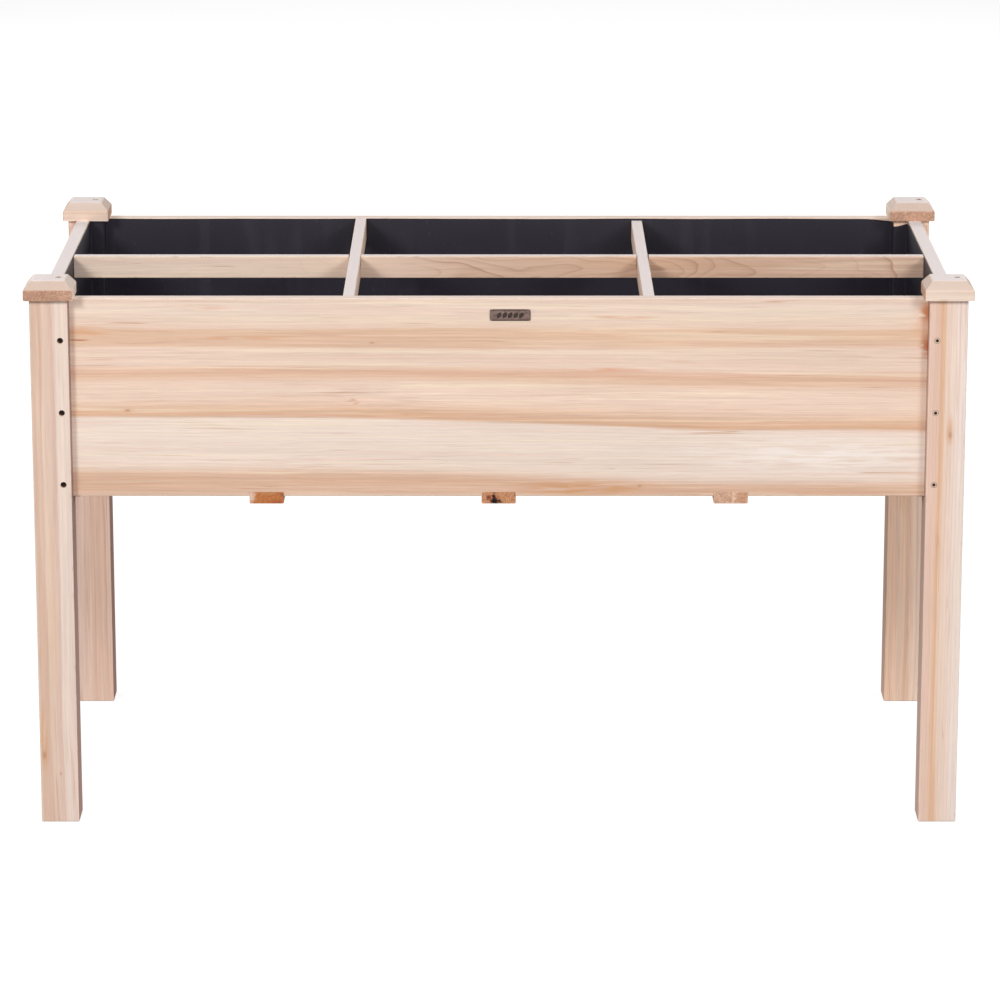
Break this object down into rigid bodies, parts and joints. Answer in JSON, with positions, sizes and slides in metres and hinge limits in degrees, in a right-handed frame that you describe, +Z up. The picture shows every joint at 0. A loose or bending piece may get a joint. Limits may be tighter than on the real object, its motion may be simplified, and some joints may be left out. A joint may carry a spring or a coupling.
{
  "type": "raised planter on legs",
  "caption": "Oblong wooden planter trough held waist-high between square legs, with a dark liner and a lift-out divider grid.",
  "frame": {"origin": "on the ground, under the middle of the trough", "axes": "+X along the trough to the right, +Y from the front with the name plate to the back, +Z up"},
  "size_m": [1.233, 0.624, 0.7355],
  "materials": {
    "leg_wood": "bare sanded fir",
    "cap_wood": "bare sanded fir",
    "panel_wood": "bare sanded fir",
    "divider_wood": "bare sanded fir",
    "batten_wood": "bare planed fir",
    "board_wood": "bare planed fir",
    "liner_film": "soft satin film",
    "plate_metal": "dark antiqued",
    "screw_steel": "dark coated"
  },
  "bodies": {
    "planter": {"front_left_leg": "leg_wood", "front_left_cap": "cap_wood", "front_right_leg": "leg_wood", "front_right_cap": "cap_wood", "rear_left_leg": "leg_wood", "rear_left_cap": "cap_wood", "rear_right_leg": "leg_wood", "rear_right_cap": "cap_wood", "front_panel": "panel_wood", "rear_panel": "panel_wood", "left_end_panel": "panel_wood", "right_end_panel": "panel_wood", "left_batten": "batten_wood", "middle_batten": "batten_wood", "right_batten": "batten_wood", "left_end_batten": "batten_wood", "right_end_batten": "batten_wood", "floor_board_1": "board_wood", "floor_board_2": "board_wood", "floor_board_3": "board_wood", "floor_board_4": "board_wood", "floor_board_5": "board_wood", "floor_board_6": "board_wood", "liner": "liner_film", "long_divider": "divider_wood", "name_plate": "plate_metal", "front_leg_screws": "screw_steel", "rear_leg_screws": "screw_steel", "left_leg_side_screws": "screw_steel", "right_leg_side_screws": "screw_steel", "cap_screws": "screw_steel", "batten_screws": "screw_steel", "end_batten_screws": "screw_steel", "divider_screws": "screw_steel"},
    "left_cross_divider": {"left_cross_divider": "divider_wood"},
    "right_cross_divider": {"right_cross_divider": "divider_wood"}
  },
  "joints": [
    {"name": "left_divider_lift", "type": "slide", "parent": "planter", "child": "left_cross_divider", "axis": [0, 0, 1], "range_m": [0, 0.08]},
    {"name": "right_divider_lift", "type": "slide", "parent": "planter", "child": "right_cross_divider", "axis": [0, 0, 1], "range_m": [0, 0.08]}
  ]
}
